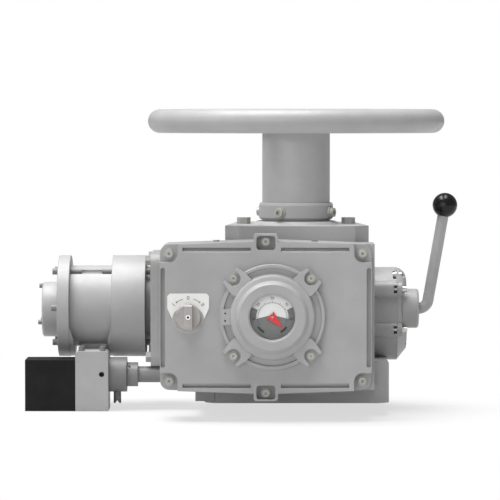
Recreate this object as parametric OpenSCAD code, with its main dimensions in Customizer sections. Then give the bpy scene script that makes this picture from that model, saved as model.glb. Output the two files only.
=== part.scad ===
// Multi-turn valve actuator: motor and worm drive, handwheel, clutch lever, dial and air brake.
// Origin: on the stem axis, in the plane of the valve flange. +Z is up, the dial faces -Y.

/* [Main axes] */
// Height of the worm, motor, dial and lever axis over the valve flange
axis_z = 180; // [175:1:190]
// Dial axis left of the stem axis
dial_left = 50; // [46:1:54]
// Selector axis left of the stem axis
selector_left = 213.5; // [208:0.5:218]
// Gap round a fixed piece in its seat
seat_gap = 0.05; // [0.02:0.01:0.1]
// Gap round a running shaft
run_gap = 0.06; // [0.04:0.01:0.1]
// Gap between faces that move past each other
face_gap = 0.3; // [0.2:0.05:0.5]

/* [Gear case] */
// Width of the base
base_w = 368; // [364:1:380]
// Gear case in front of the stem axis
case_front = 150; // [148:0.5:152]
// Base behind the stem axis
base_back = 184; // [178:1:195]
// Height of the base
base_h = 82; // [80:1:90]
// Corner radius of the base
base_r = 30; // [20:1:40]
// Rounding of the base's top edge
base_edge_r = 6; // [3:1:10]
// Half width of the upper gear case
case_half_w = 143; // [140:0.5:147]
// Height of the upper gear case
case_top = 300; // [296:1:304]
// Chamfer of the upper case's corners
case_chamfer = 28; // [20:1:35]
// Radius of the wheel chamber
chamber_r = 118; // [116:0.5:120]
// Thickness of the base floor
floor_t = 30; // [28:1:32]
// How far the left pad stands out from the base
pad_out = 18; // [12:1:24]
// How far the left pad runs behind the stem axis
pad_back = 50; // [46:1:56]
// Outer radius of the worm tube
tube_r = 80; // [76:1:84]
// Bore radius of the worm tube
tube_bore_r = 50; // [46:1:54]
// Length of the worm tube to the motor adapter
tube_len = 136.2; // [130:0.2:146]

/* [Valve flange] */
// Radius of the spigot recess
spigot_r = 100; // [95:1:104]
// Depth of the spigot recess
spigot_d = 5; // [4:0.5:6]
// Pitch circle of the flange bolts
flange_pcd = 254; // [250:1:258]
// Number of flange bolts
flange_bolts = 8; // [4:4:8]
// Radius of the tapped flange holes
flange_hole_r = 7; // [6:0.25:8]
// Depth of the tapped flange holes
flange_hole_d = 26; // [20:1:27]

/* [Top plate] */
// Thickness of the top plate
plate_t = 52; // [48:1:56]
// How much narrower the top plate is at the back, on each side
plate_lean = 22; // [10:1:26]
// Height of the raised cone round the column
ring_h = 6; // [4:1:8]
// Radius of the raised cone's top
ring_r = 80; // [79:0.5:84]
// Hexagon screws from the stem axis
hex_x = 106; // [104:1:112]
// Half width over flats of the hexagon screws
hex_half = 12; // [10:0.5:13]
// Height of the hexagon heads
hex_h = 13; // [10:1:16]

/* [Drive] */
// Outer radius of the drive sleeve
sleeve_r = 55; // [54:0.25:56]
// Radius of the stem nut
nut_r = 42; // [40:0.5:44]
// Radius of the stem nut's bore
stem_r = 28; // [26:0.5:32]
// Outer radius of the sleeve and column bearings
bearing_r = 80; // [78:0.5:82]
// Height of the lower bearing
bearing_h = 20; // [16:1:20]
// Radius of the brake drum
drum_r = 85; // [80:0.5:88]
// Height of the brake drum
drum_h = 28; // [24:1:32]
// Number of worm wheel teeth
wheel_teeth = 28; // [26:1:29]
// Module of the worm pair
worm_m = 5; // [4.8:0.1:5]
// Width of the worm wheel
wheel_w = 50; // [44:1:52]
// Pitch radius of the worm
worm_r = 25; // [24:0.5:26]
// Radius of the worm shaft
shaft_r = 17.5; // [15:0.5:19]
// Length of the worm thread
worm_len = 70; // [56:1:80]
// Radius of the motor shaft
motor_shaft_r = 14; // [12:0.5:16]

/* [Clutch] */
// Outer radius of the clutch ring
clutch_r = 74; // [72:0.5:76]
// Width of the shift groove
groove_w = 10; // [8:1:12]
// Angle that the lever turns
lever_turn = 40; // [36:1:42]
// Radius of the crank pin's circle
crank_r = 20; // [18:0.5:21]
// Radius of the crank pin
crank_pin_r = 6; // [5:0.25:6.5]
// Width of one feather key
key_w = 12; // [8:1:14]
// Crank disc's inner face from the stem axis
crank_x = 94; // [93.5:0.25:95]

/* [Handwheel] */
// Outer diameter of the handwheel
wheel_d = 600; // [560:5:640]
// Diameter of the rim tube
rim_d = 48; // [40:1:50]
// Height of the rim's centre
rim_z = 560; // [540:1:580]
// Outer radius of the column
column_r = 68.5; // [66:0.25:70]
// Outer radius of the collar
collar_r = 75; // [74:0.5:80]
// Height of the collar
collar_h = 34; // [30:1:38]
// Number of collar screws
collar_screws_n = 4; // [3:1:4]
// Turn of the first collar screw, from the front towards the left
collar_phase = 26; // [10:1:40]
// Number of spokes
spokes_n = 4; // [3:1:5]
// Radius of a spoke
spoke_r = 12; // [9:0.5:14]

/* [Control housing] */
// Width of the front cover
cover_w = 412.5; // [408:0.5:416]
// Height of the front cover at its corners
cover_h = 284.4; // [282:0.2:287]
// How far the long edges bow out at the middle lugs
cover_bow = 5.8; // [3:0.2:8]
// Cover's middle left of the stem axis
cover_left = 62.5; // [60:0.5:65]
// Height of the cover's middle
cover_z = 178; // [176:1:180]
// Radius of the cover's corners, which have the screws in their middle
corner_r = 18; // [16:0.25:20]
// How far the middle lugs stand out from the long edges
lug_out = 20.3; // [18:0.1:22]
// Width of the middle lugs
lug_w = 47.2; // [44:0.2:50]
// Thickness of the front cover
cover_t = 28.5; // [26:0.5:32]
// Depth of the control housing
housing_d = 105; // [100:1:110]
// Wall of the control housing
housing_wall = 9; // [7:0.5:11]
// How far the housing is wider than the cover on the right
housing_extra = 6; // [4:0.5:8]
// Thickness of the cover gasket
gasket_t = 1.5; // [1:0.1:2]
// Width of the edge grooves of the cover
channel_w = 8.3; // [6:0.1:10]
// Depth of the edge grooves
channel_d = 8; // [5:0.5:10]
// Thickness left under the screw pockets
pocket_floor = 7; // [5:0.5:9]
// Radius of the corner pockets
pocket_r = 16.5; // [15:0.25:17]

/* [Dial] */
// Radius of the bezel flange
bezel_r = 102.8; // [100:0.4:106]
// Radius of the bezel's step
bezel_step_r = 82.6; // [80:0.2:85]
// Radius of the bezel's face
bezel_face_r = 67; // [64:0.5:70]
// Radius of the bezel's window
window_r = 44.5; // [42:0.5:46]
// Height of the bezel
bezel_h = 30; // [27:0.5:33]
// Radius of the ear screws' circle
ear_r = 106.5; // [104:0.5:109]
// Length of the pointer from its axis
pointer_len = 31; // [28:0.5:34]

/* [Selector] */
// Radius of the selector knob
knob_r = 25.2; // [22:0.2:27]
// Height of the knob
knob_h = 20; // [16:1:24]
// Width of the knob's grip bar
grip_w = 16.5; // [12:0.5:20]
// Width of the selector plate
sel_plate_w = 81.2; // [76:0.2:86]

/* [Side housing] */
// Radius of the side housing
side_r = 82; // [80:0.5:86]
// Side housing's middle behind the stem axis
side_y = 40; // [38:0.5:42]
// How far the lower part of the side housing hangs down
side_drop = 25; // [20:1:28]
// Length of the side housing
side_len = 60.5; // [56:0.1:64]
// Width of the slots that show the washers
side_slot = 7; // [5:0.5:9]
// Thickness of the side cover
side_cover_t = 21; // [19:0.5:23]
// Radius of the lever hub
hub_r = 39.6; // [37:0.2:41]
// Length of the lever hub
hub_len = 34.3; // [32:0.1:37]
// Radius of the lever shaft
lever_shaft_r = 15; // [13:0.5:16]
// Radius of the lever rod
lever_r = 11.35; // [10:0.05:12.5]
// Bend radius of the lever rod
lever_bend = 20; // [18:0.5:26]
// Lean of the lever from upright
lever_lean = 10; // [6:1:14]
// Length of the lever's straight part
lever_len = 180; // [170:1:195]
// Diameter of the lever ball
ball_d = 50; // [46:1:54]

/* [Motor] */
// Radius of the motor flanges
motor_flange_r = 104; // [100:0.5:106]
// Radius of the motor body
motor_body_r = 83; // [80:0.2:84]
// Thickness of the motor's end flange
end_flange_t = 24.6; // [22:0.2:30]
// Length of the motor body
motor_len = 86.1; // [82:0.1:90]
// Length of the drive end ring
ring_len = 68.5; // [62:0.1:72]
// Length of the neck between ring and adapter plate
neck_len = 11.8; // [11:0.1:16]
// Thickness of the adapter plate
adapter_t = 15.7; // [14:0.1:18]
// Half height of the adapter plate
adapter_half = 116; // [112:0.5:120]
// Radius of the end cover
end_cover_r = 56.3; // [54:0.1:60]
// Thickness of the end cover
end_cover_t = 33.6; // [30:0.2:36]
// How far the end cover's middle lies under the motor axis
end_cover_drop = 7.2; // [5:0.2:9]
// Radius of the motor bolts' circle
motor_bolt_pcr = 83.7; // [82:0.1:86]
// Radius of a motor bolt
motor_bolt_r = 5; // [4:0.25:6]
// Width of the motor body's shoulders beside the air block
shoulder_w = 8.5; // [6:0.5:10]
// Bore radius of the motor body
stator_r = 66; // [62:0.5:68]
// Radius of the rotor
rotor_r = 44; // [40:0.5:46]

/* [Air brake] */
// Height of the brake rod axis
rod_z = 45.7; // [44:0.1:47]
// Radius of the brake rod
rod_r = 16.3; // [15:0.1:17]
// Stroke of the brake rod
rod_stroke = 25; // [20:1:25]
// Width of the air block along the rod
block_w = 66.7; // [64:0.1:70]
// Half depth of the air block
block_half = 45; // [42:1:48]
// Air block's bottom under the valve flange
block_under = 25.4; // [20:0.2:28]
// Edge radius of the air block's top
block_edge = 8; // [5:1:10]
// How far the block's middle lies right of the motor body's middle
block_shift = 5.4; // [3:0.2:8]
// Radius of the air port
port_r = 5.25; // [4.5:0.25:6]
// Width of the valve box
box_w = 101.6; // [96:0.2:106]
// Height of the valve box
box_h = 103.3; // [100:0.1:110]
// Radius of the rod gland
gland_r = 35.3; // [33:0.1:37]
// Length of the rod gland
gland_len = 36.3; // [34:0.1:38]
// Radius of the stop collar
stop_r = 24.5; // [22:0.5:27]
// Length of the stop collar
stop_len = 21.9; // [20:0.1:24]

/* [Hidden] */
$fn = 64;
TINY = 0.01;
worm_y = worm_m * wheel_teeth / 2 + worm_r;
plate_top = case_top + plate_t;
cover_back = case_front + housing_d + gasket_t;
cover_face = cover_back + cover_t;
screw_dx = cover_w - 2 * corner_r;
screw_dz = cover_h - 2 * corner_r;
lug_reach = cover_h / 2 + lug_out;
lug_screw = lug_reach - 14.5;
base_mid_y = (base_back - case_front) / 2;
base_depth = base_back + case_front;

// Levels on the stem axis
drum_z0 = floor_t + 2;
takeoff_z0 = 106;
takeoff_h = 14;
wheel_z0 = axis_z - wheel_w / 2;
wheel_z1 = axis_z + wheel_w / 2;
lining_t = 3;
clutch_travel = 2 * crank_r * sin(lever_turn / 2);
ring_z0 = wheel_z1 + lining_t + face_gap + clutch_travel;
clutch_h = 28;
dog_h = 9;
groove_z = ring_z0 + clutch_h / 2;
column_z0 = ring_z0 + clutch_h + dog_h + 2;
column_top = rim_z - 22;
collar_z0 = plate_top + ring_h + 3;
column_bearing_z0 = case_top + 5;
column_bearing_h = 24;
key_r = sleeve_r + 5;
dog_r = key_r + 1.5;
column_bore_r = sleeve_r + run_gap;
column_inner_r = column_r - 12;
sleeve_top = column_z0 + 38;

// Worm pair; its axis and the motor lie worm_y behind the stem axis
worm_lead = PI * worm_m;
wheel_r = worm_m * wheel_teeth / 2;
wheel_tip = wheel_r + 0.9 * worm_m;
wheel_root = wheel_r - 1.1 * worm_m;
worm_tip = worm_r + 0.9 * worm_m;
worm_root = worm_r - worm_m;
worm_tilt = atan(worm_lead / (2 * PI * worm_r));
worm_bore_r = worm_tip + 6.5;
worm_bearing_x = case_half_w - 27;
worm_bearing_w = 20;

// Take-off gears
take_m = 2.5;
take_teeth = 60;
counter_teeth = 20;
take_dist = take_m * (take_teeth + counter_teeth) / 2;
counter_x = -dial_left;
counter_y = -sqrt(take_dist * take_dist - dial_left * dial_left);
counter_angle = atan2(counter_y, counter_x);

// Dial
dial_x = -dial_left;
glass_t = 4;
pointer_y = -(cover_face + 12);
dial_y = pointer_y + 4;
pointer_rest = 137;

// Side housing and lever
side_x0 = case_half_w;
side_x1 = side_x0 + side_len;
side_x3 = side_x1 + side_cover_t;
hub_x0 = side_x3 - 10.5;
hub_x1 = hub_x0 + hub_len;
crank_disc_t = 14;
crank_angle = lever_turn / 2;
guide_x = 96;
guide_y = 42;
guide_r = 7;

// Motor stations along X, from the gear case to the left
tube_x = -case_half_w - tube_len;
adapter_x = tube_x - adapter_t;
neck_x = adapter_x - neck_len;
ring_x = neck_x - ring_len;
body_x = ring_x - motor_len;
flange_x = body_x - end_flange_t;
end_x = flange_x - end_cover_t;
adapter_z = axis_z - 4.5;

// Air block
block_left = -body_x - motor_len / 2 - block_shift;
block_x0 = -block_left - block_w / 2;
block_x1 = -block_left + block_w / 2;
foot_t = 10;
foot_top = axis_z - motor_body_r - 1.5;
foot_z0 = foot_top - foot_t;
gland_x1 = block_x1 + gland_len;
stop_x0 = gland_x1 + face_gap;
stop_x1 = stop_x0 + stop_len;
piston_r = 28;
piston_t = 20;
piston_x0 = block_x1 - 54;
shoe_half = 34;
shoe_h = 26;
shoe_back = -135;
rod_end = shoe_back + 12;

// Cylinder along X from x0 to x1
module xcyl(r, x0, x1, y = 0, z = 0) {
    translate([x0, y, z])
        rotate([0, 90, 0])
            cylinder(r = r, h = x1 - x0);
}

// Cylinder along Y from y0 to y1
module ycyl(r, y0, y1, x = 0, z = 0) {
    translate([x, y0, z])
        rotate([-90, 0, 0])
            cylinder(r = r, h = y1 - y0);
}

// Cylinder along Z from z0 to z1
module zcyl(r, z0, z1, x = 0, y = 0) {
    translate([x, y, z0])
        cylinder(r = r, h = z1 - z0);
}

// Box between two corners
module box(a, b) {
    translate(a)
        cube([b[0] - a[0], b[1] - a[1], b[2] - a[2]]);
}

// Front view outline extruded from y0 to y1
module front_slab(y0, y1) {
    translate([0, y1, 0])
        rotate([90, 0, 0])
            linear_extrude(y1 - y0)
                children();
}

// Side view outline, Y across and Z up, extruded from x0 to x1
module side_slab(x0, x1) {
    translate([x0, 0, 0])
        rotate([90, 0, 90])
            linear_extrude(x1 - x0)
                children();
}

// Rectangle with round corners about its middle
module round_rect(w, h, r) {
    square([w - 2 * r, h], center = true);
    square([w, h - 2 * r], center = true);
    for (x = [-1, 1], y = [-1, 1])
        translate([x * (w / 2 - r), y * (h / 2 - r)])
            circle(r);
}

// Cap screw with a hexagon socket, head up from z = 0, shank below
module cap_screw(head_r, head_h, shank_r, shank_l, socket_r) {
    difference() {
        union() {
            cylinder(r = head_r, h = head_h);
            translate([0, 0, -shank_l])
                cylinder(r = shank_r, h = shank_l);
        }
        translate([0, 0, head_h * 0.4])
            cylinder(r = socket_r, h = head_h, $fn = 6);
    }
}

// Hexagon screw, head up from z = 0
module hex_screw(half, head_h, shank_r, shank_l) {
    cylinder(r = half / cos(30), h = head_h, $fn = 6);
    translate([0, 0, -shank_l])
        cylinder(r = shank_r, h = shank_l);
}

// Outline of the upper gear case or the top plate from above, narrower by lean at the back
module case_outline(lean) {
    w = case_half_w;
    f = case_front;
    c = case_chamfer;
    b = w - lean;
    polygon([
        [-w, -f + c], [-w + c, -f], [w - c, -f], [w, -f + c],
        [b, f - c], [b - c, f], [-b + c, f], [-b, f - c]
    ]);
}

// Sunk top plate screws
module at_sunk_screws() {
    for (a = [55, 125, 235, 305])
        rotate([0, 0, a])
            translate([chamber_r + 13, 0, 0])
                children();
}

sunk_r = 5;
sunk_head_r = 8;
sunk_head_h = 9;

// Window in the case front for the dial gear block
window_x0 = dial_x - 42;
window_x1 = dial_x + 42;
window_z0 = axis_z - 32;
window_z1 = axis_z + 38;

/* Gear case */

module base_body() {
    intersection() {
        translate([0, base_mid_y, 0])
            linear_extrude(base_h)
                round_rect(base_w, base_depth, base_r);
        front_slab(-case_front - 1, base_back + 1)
            round_rect(base_w, 2 * base_h, base_edge_r);
    }
}

module gear_case() {
    color([0.62, 0.62, 0.62])
    difference() {
        union() {
            base_body();
            translate([0, 0, base_h - 1])
                linear_extrude(case_top - base_h + 1)
                    case_outline(0);
            xcyl(tube_r, tube_x, -case_half_w + 5, worm_y, axis_z);
            box([-base_w / 2 - pad_out, -case_front, 4], [-base_w / 2 + 20, pad_back, base_h - base_edge_r]);
            side_slab(tube_x, tube_x + adapter_t)
                translate([worm_y, adapter_z])
                    round_rect(2 * adapter_half, 2 * adapter_half, 24);
            // gusset under the worm tube
            front_slab(worm_y - 7, worm_y + 7)
                polygon([
                    [-case_half_w + 5, base_h - 10], [-case_half_w - 25, base_h - 10],
                    [tube_x + adapter_t - 1, axis_z - tube_r + 4], [-case_half_w + 5, axis_z - tube_r + 8]
                ]);
        }
        zcyl(chamber_r, floor_t, case_top + 1);
        zcyl(spigot_r, -1, spigot_d);
        zcyl(sleeve_r + 6, -1, floor_t + 1);
        zcyl(bearing_r + seat_gap, spigot_d + 5, floor_t + 1);
        for (i = [0:flange_bolts - 1])
            rotate([0, 0, (i + 0.5) * 360 / flange_bolts])
                zcyl(flange_hole_r, -1, flange_hole_d, flange_pcd / 2, 0);
        xcyl(worm_bore_r, -case_half_w - 1, case_half_w + 1, worm_y, axis_z);
        xcyl(tube_bore_r, tube_x - 1, -case_half_w + 4, worm_y, axis_z);
        at_adapter_bolts()
            xcyl(8 + seat_gap, tube_x - 1, tube_x + adapter_t + 1);
        // way for the brake shoe and its rod
        xcyl(rod_r + 3, tube_x - 1, tube_x + adapter_t + 1, 0, rod_z);
        box([-150, -shoe_half - 6, floor_t], [-100, shoe_half + 6, rod_z + shoe_h / 2 + 8]);
        xcyl(bush_r + seat_gap, -base_w / 2 - pad_out - 1, -140, 0, rod_z);
        xcyl(rod_r + 1, -141, rod_end + rod_stroke + 2, 0, rod_z);
        // dial gears
        zcyl(34, takeoff_z0 - 6, window_z0 + 1, counter_x, counter_y);
        box([window_x0, -case_front - 1, window_z0], [window_x1, counter_y + 12, window_z1]);
        // lever shaft and guide rod
        xcyl(lever_bush_r + seat_gap, 100, case_half_w + 1, 0, axis_z);
        zcyl(guide_r + seat_gap, floor_t - 10, floor_t + 1, guide_x, guide_y);
        // tapped holes for the top plate
        at_sunk_screws()
            zcyl(sunk_r + seat_gap, case_top - 24, case_top + 1);
    }
}

bush_r = 24;
lever_bush_r = 20;
hex_shank_r = 7;

/* Top plate */

module top_plate() {
    color([0.62, 0.62, 0.62])
    difference() {
        union() {
            translate([0, 0, case_top])
                linear_extrude(plate_t)
                    case_outline(plate_lean);
            translate([0, 0, plate_top - 1])
                cylinder(r1 = ring_r + 11, r2 = ring_r, h = ring_h + 1);
        }
        zcyl(bearing_r + 15 + seat_gap, case_top - 1, column_bearing_z0 + column_bearing_h);
        zcyl(column_r + 1.5, case_top - 1, plate_top + ring_h + 1);
        zcyl(seal_r + seat_gap, plate_top - 10, plate_top + ring_h + 1);
        for (s = [-1, 1])
            zcyl(hex_shank_r + seat_gap, plate_top - 24, plate_top + 1, s * hex_x, 0);
        at_sunk_screws()
            union() {
                zcyl(sunk_r + seat_gap, case_top - 1, plate_top + 1);
                zcyl(sunk_head_r + 0.5, plate_top - sunk_head_h - 3, plate_top + 1);
            }
        zcyl(guide_r + seat_gap, case_top - 1, case_top + 6, guide_x, guide_y);
    }
}

seal_r = column_r + 9;

// Two hexagon screws and four sunk socket screws
module plate_screws() {
    color([0.6, 0.59, 0.56])
    union() {
        for (s = [-1, 1])
            translate([s * hex_x, 0, plate_top])
                hex_screw(hex_half, hex_h, hex_shank_r, 22);
        at_sunk_screws()
            translate([0, 0, plate_top - sunk_head_h - 3])
                cap_screw(sunk_head_r, sunk_head_h, sunk_r, plate_t - sunk_head_h + 17, 4);
    }
}

/* Side housing on the right */

// Outline in the side view: two circles and the flanks between them
module side_outline(r) {
    translate([side_y, axis_z])
        circle(r);
    translate([side_y, axis_z - side_drop])
        circle(r);
    translate([side_y - r, axis_z - side_drop])
        square([2 * r, side_drop]);
}

// Places of the side bolts beside and above the middle of the side housing
outer_bolt = [75, 41];
inner_bolt = [35, 67.5];
ear_bolt_r = 16.5;
side_shank_r = 4;
side_head_r = 5.7;
side_rim = 2;
outer_seat_x = hub_x0 - face_gap;
inner_seat_x = side_x1 + 5;

// Four places of bolts, x along the bolt and -y outwards
module at_side_bolts(place) {
    for (y = [0, 1], z = [-1, 1])
        translate([0, side_y, axis_z + z * place[1]])
            mirror([0, y, 0])
                translate([0, -place[0], 0])
                    children();
}

module side_housing() {
    color([0.62, 0.62, 0.62])
    difference() {
        union() {
            side_slab(side_x0, side_x1)
                side_outline(side_r);
            at_side_bolts(outer_bolt)
                xcyl(ear_bolt_r, side_x0, side_x1);
        }
        side_slab(side_x0 - 1, side_x1 + 1)
            side_outline(side_r - 16);
        // the case base below
        box([side_x0 - 1, -base_depth, 0], [base_w / 2 + seat_gap, base_depth, base_h + seat_gap]);
        for (place = [outer_bolt, inner_bolt])
            at_side_bolts(place)
                union() {
                    xcyl(side_shank_r + seat_gap, side_x1 - 28, side_x1 + 1);
                    // slot with the washers, open outwards
                    box([side_x1 - side_slot, -30, -7.5], [side_x1 + 1, 7.5, 7.5]);
                }
    }
}

module side_cover() {
    edge = 24;
    dome_t = side_cover_t - side_rim;
    color([0.6, 0.6, 0.6])
    difference() {
        union() {
            side_slab(side_x1, side_x1 + side_rim)
                side_outline(side_r);
            at_side_bolts(outer_bolt)
                xcyl(ear_bolt_r - 2.5, side_x1, outer_seat_x);
            // domed upper edge, turned about the axis
            translate([side_x1 + side_rim, side_y, axis_z])
                rotate([0, 90, 0])
                    rotate_extrude() {
                        square([side_r - edge, dome_t]);
                        intersection() {
                            translate([side_r - edge, dome_t - edge])
                                circle(edge);
                            square([side_r + 1, dome_t]);
                        }
                    }
            // lower part with a bevelled edge
            translate([side_x1 + side_rim, side_y, axis_z - side_drop])
                rotate([0, 90, 0])
                    rotate_extrude()
                        polygon([[0, 0], [side_r, 0], [side_r - edge, dome_t], [0, dome_t]]);
        }
        // flat seat of the lever hub, open to the front
        xcyl(hub_r + 1.5, hub_x0 - face_gap, side_x3 + 1, 0, axis_z);
        box([hub_x0 - face_gap, side_y - side_r - 5, axis_z - hub_r - 1.5],
            [side_x3 + 1, 0, axis_z + hub_r + 1.5]);
        xcyl(lever_bush_r + seat_gap, side_x1 - 1, hub_x0 + 1, 0, axis_z);
        for (place = [outer_bolt, inner_bolt])
            at_side_bolts(place)
                xcyl(side_shank_r + seat_gap, side_x1 - 1, side_x3 + 1);
        at_side_bolts(outer_bolt)
            xcyl(side_head_r + 0.5, outer_seat_x, side_x3 + 1);
        at_side_bolts(inner_bolt)
            xcyl(side_head_r + 0.5, inner_seat_x, side_x3 + 1);
    }
}

// Bolt with its head on seat_x and bright washers in the slot of the housing
module side_bolt(seat_x, head_h) {
    xcyl(side_shank_r, side_x1 - 26, seat_x + 1);
    xcyl(side_head_r, seat_x, seat_x + head_h);
    difference() {
        union() {
            xcyl(7, side_x1 - 3, side_x1);
            xcyl(5.6, side_x1 - side_slot, side_x1 - 3);
        }
        xcyl(side_shank_r + seat_gap, side_x1 - side_slot - 1, side_x1 + 1);
    }
}

module side_bolts() {
    color([0.7, 0.69, 0.66])
    union() {
        at_side_bolts(outer_bolt)
            side_bolt(outer_seat_x, 10.5);
        at_side_bolts(inner_bolt)
            side_bolt(inner_seat_x, 6);
    }
}

/* Control housing */

// Edge line of cover and housing, about the cover's middle
module cover_outline() {
    hw = cover_w / 2 - corner_r;
    hh = cover_h / 2;
    top = hh + cover_bow;
    round_rect(cover_w, cover_h, corner_r);
    polygon([
        [-hw, -hh], [-lug_w / 2, -top], [lug_w / 2, -top], [hw, -hh],
        [hw, hh], [lug_w / 2, top], [-lug_w / 2, top], [-hw, hh]
    ]);
}

module lug_outline() {
    round_rect(lug_w, 2 * lug_reach, 5);
}

module at_cover_middle() {
    translate([-cover_left, cover_z])
        children();
}

// Places of the six cover screws, in the front view
module at_cover_screws() {
    for (x = [-1, 1], z = [-1, 1])
        translate([-cover_left + x * screw_dx / 2, 0, cover_z + z * screw_dz / 2])
            children();
    for (z = [-1, 1])
        translate([-cover_left, 0, cover_z + z * lug_screw])
            children();
}

cover_screw_r = 4;

module control_housing() {
    color([0.6, 0.6, 0.6])
    difference() {
        union() {
            front_slab(-case_front - housing_d, -case_front)
                at_cover_middle() {
                    cover_outline();
                    translate([0, -cover_h / 2])
                        square([cover_w / 2 + housing_extra, cover_h]);
                }
            front_slab(-case_front - housing_d, -case_front - housing_d + 30)
                at_cover_middle()
                    lug_outline();
        }
        difference() {
            front_slab(-case_front - housing_d - 1, -case_front - 10)
                at_cover_middle()
                    round_rect(cover_w - 2 * housing_wall, cover_h - 2 * housing_wall, 10);
            for (x = [-1, 1], z = [-1, 1])
                ycyl(corner_r - 1, -case_front - housing_d, -case_front,
                    -cover_left + x * screw_dx / 2, cover_z + z * screw_dz / 2);
        }
        at_cover_screws()
            ycyl(cover_screw_r + seat_gap, -case_front - housing_d - 1, -case_front - housing_d + 24);
        box([window_x0, -case_front - 12, window_z0], [window_x1, -case_front + 1, window_z1]);
        for (x = cable_x)
            zcyl(cable_r, cover_z - cover_h / 2 - 10, cover_z - cover_h / 2 + housing_wall + 3, x, cable_y);
        for (i = [0, 1])
            zcyl(plug_shank + seat_gap, cover_z + cover_h / 2 - housing_wall - 1, cover_z + cover_h / 2 + 10,
                plug_x[i], plug_y);
    }
}

cable_r = 11.75;
cable_x = [-220, -165];
cable_y = -205;
plug_x = [-159.7, 33.7];
plug_y = -200;
plug_shank = 5;

module housing_plugs() {
    color([0.6, 0.6, 0.6])
    for (i = [0, 1])
        translate([plug_x[i], plug_y, cover_z + cover_h / 2 + plug_seat])
            union() {
                cylinder(r = 6.2, h = 2.6);
                translate([0, 0, -housing_wall - plug_seat])
                    cylinder(r = plug_shank, h = housing_wall + plug_seat);
            }
}

plug_seat = 3.6;

module cover_gasket() {
    color([0.1, 0.1, 0.1])
    difference() {
        front_slab(-cover_back, -cover_back + gasket_t)
            at_cover_middle()
                difference() {
                    union() {
                        cover_outline();
                        lug_outline();
                    }
                    round_rect(cover_w - 2 * housing_wall, cover_h - 2 * housing_wall, 10);
                }
        at_cover_screws()
            ycyl(cover_screw_r + seat_gap, -cover_back - 1, -cover_back + gasket_t + 1);
    }
}

// One quarter of the cover's sunk details, mirrored to the other quarters
module cover_quarter_cuts() {
    px = screw_dx / 2;
    pz = screw_dz / 2;
    // corner pocket, open outwards
    translate([px, pz])
        union() {
            circle(pocket_r);
            translate([0, -pocket_r])
                square([corner_r + 5, corner_r + 5 + pocket_r]);
            translate([-pocket_r, 0])
                square([corner_r + 5 + pocket_r, corner_r + 5]);
        }
}

band_start = lug_w / 2 + 6;
band_end = screw_dx / 2 - pocket_r - 10;

// Side groove of one quarter
module cover_quarter_channels() {
    side_end = screw_dz / 2 - pocket_r - 11;
    translate([cover_w / 2 - 1.8 - channel_w / 2, 0])
        round_rect(channel_w, 2 * side_end, channel_w / 2 - TINY);
}

// Long groove: level upper wall, sloping lower wall
module long_groove() {
    z = cover_h / 2;
    side_slab(band_start, band_end)
        polygon([
            [-cover_face - 1, z - 15.6], [-cover_face + channel_d, z - 6],
            [-cover_face - 1, z - 6]
        ]);
}

module front_cover() {
    pocket_y = -cover_back - pocket_floor;
    color([0.63, 0.63, 0.63])
    difference() {
        front_slab(-cover_face, -cover_back)
            at_cover_middle() {
                cover_outline();
                lug_outline();
            }
        // corner pockets
        front_slab(-cover_face - 1, pocket_y)
            at_cover_middle()
                for (x = [0, 1], z = [0, 1])
                    mirror([x, 0])
                        mirror([0, z])
                            cover_quarter_cuts();
        // edge grooves
        front_slab(-cover_face - 1, -cover_face + channel_d)
            at_cover_middle()
                for (x = [0, 1], z = [0, 1])
                    mirror([x, 0])
                        mirror([0, z])
                            cover_quarter_channels();
        translate([-cover_left, 0, cover_z])
            for (x = [0, 1], z = [0, 1])
                mirror([x, 0, 0])
                    mirror([0, 0, z])
                        long_groove();
        // pockets of the middle lugs
        front_slab(-cover_face - 1, pocket_y)
            at_cover_middle()
                for (z = [-1, 1])
                    translate([0, z * (lug_screw - 2.5)])
                        round_rect(36.5, 27, 6);
        at_cover_screws()
            ycyl(cover_screw_r + seat_gap, -cover_face - 1, -cover_back + 1);
        ycyl(shaft_hole_r, -cover_face - 1, -cover_back + 1, dial_x, axis_z);
        ycyl(knob_shaft_r + run_gap, -cover_face - 1, -cover_back + 1, -selector_left, axis_z);
        // inside hollow
        front_slab(-cover_face + 9, -cover_back + 1)
            at_cover_middle()
                round_rect(screw_dx - 2 * pocket_r - 30, screw_dz - 26, 10);
    }
}

shaft_hole_r = 7;
knob_shaft_r = 5;

module cover_screws() {
    color([0.7, 0.69, 0.66])
    at_cover_screws()
        translate([0, -cover_back - pocket_floor, 0])
            rotate([90, 0, 0])
                union() {
                    translate([0, 0, 2.5])
                        cap_screw(7.2, 7, cover_screw_r, pocket_floor + 22, 3);
                    cylinder(r = 9.8, h = 2.5);
                }
}

/* Dial */

ear_half_in = 24;
ear_half_out = 20;
ear_out = ear_r + 9.5;

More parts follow.
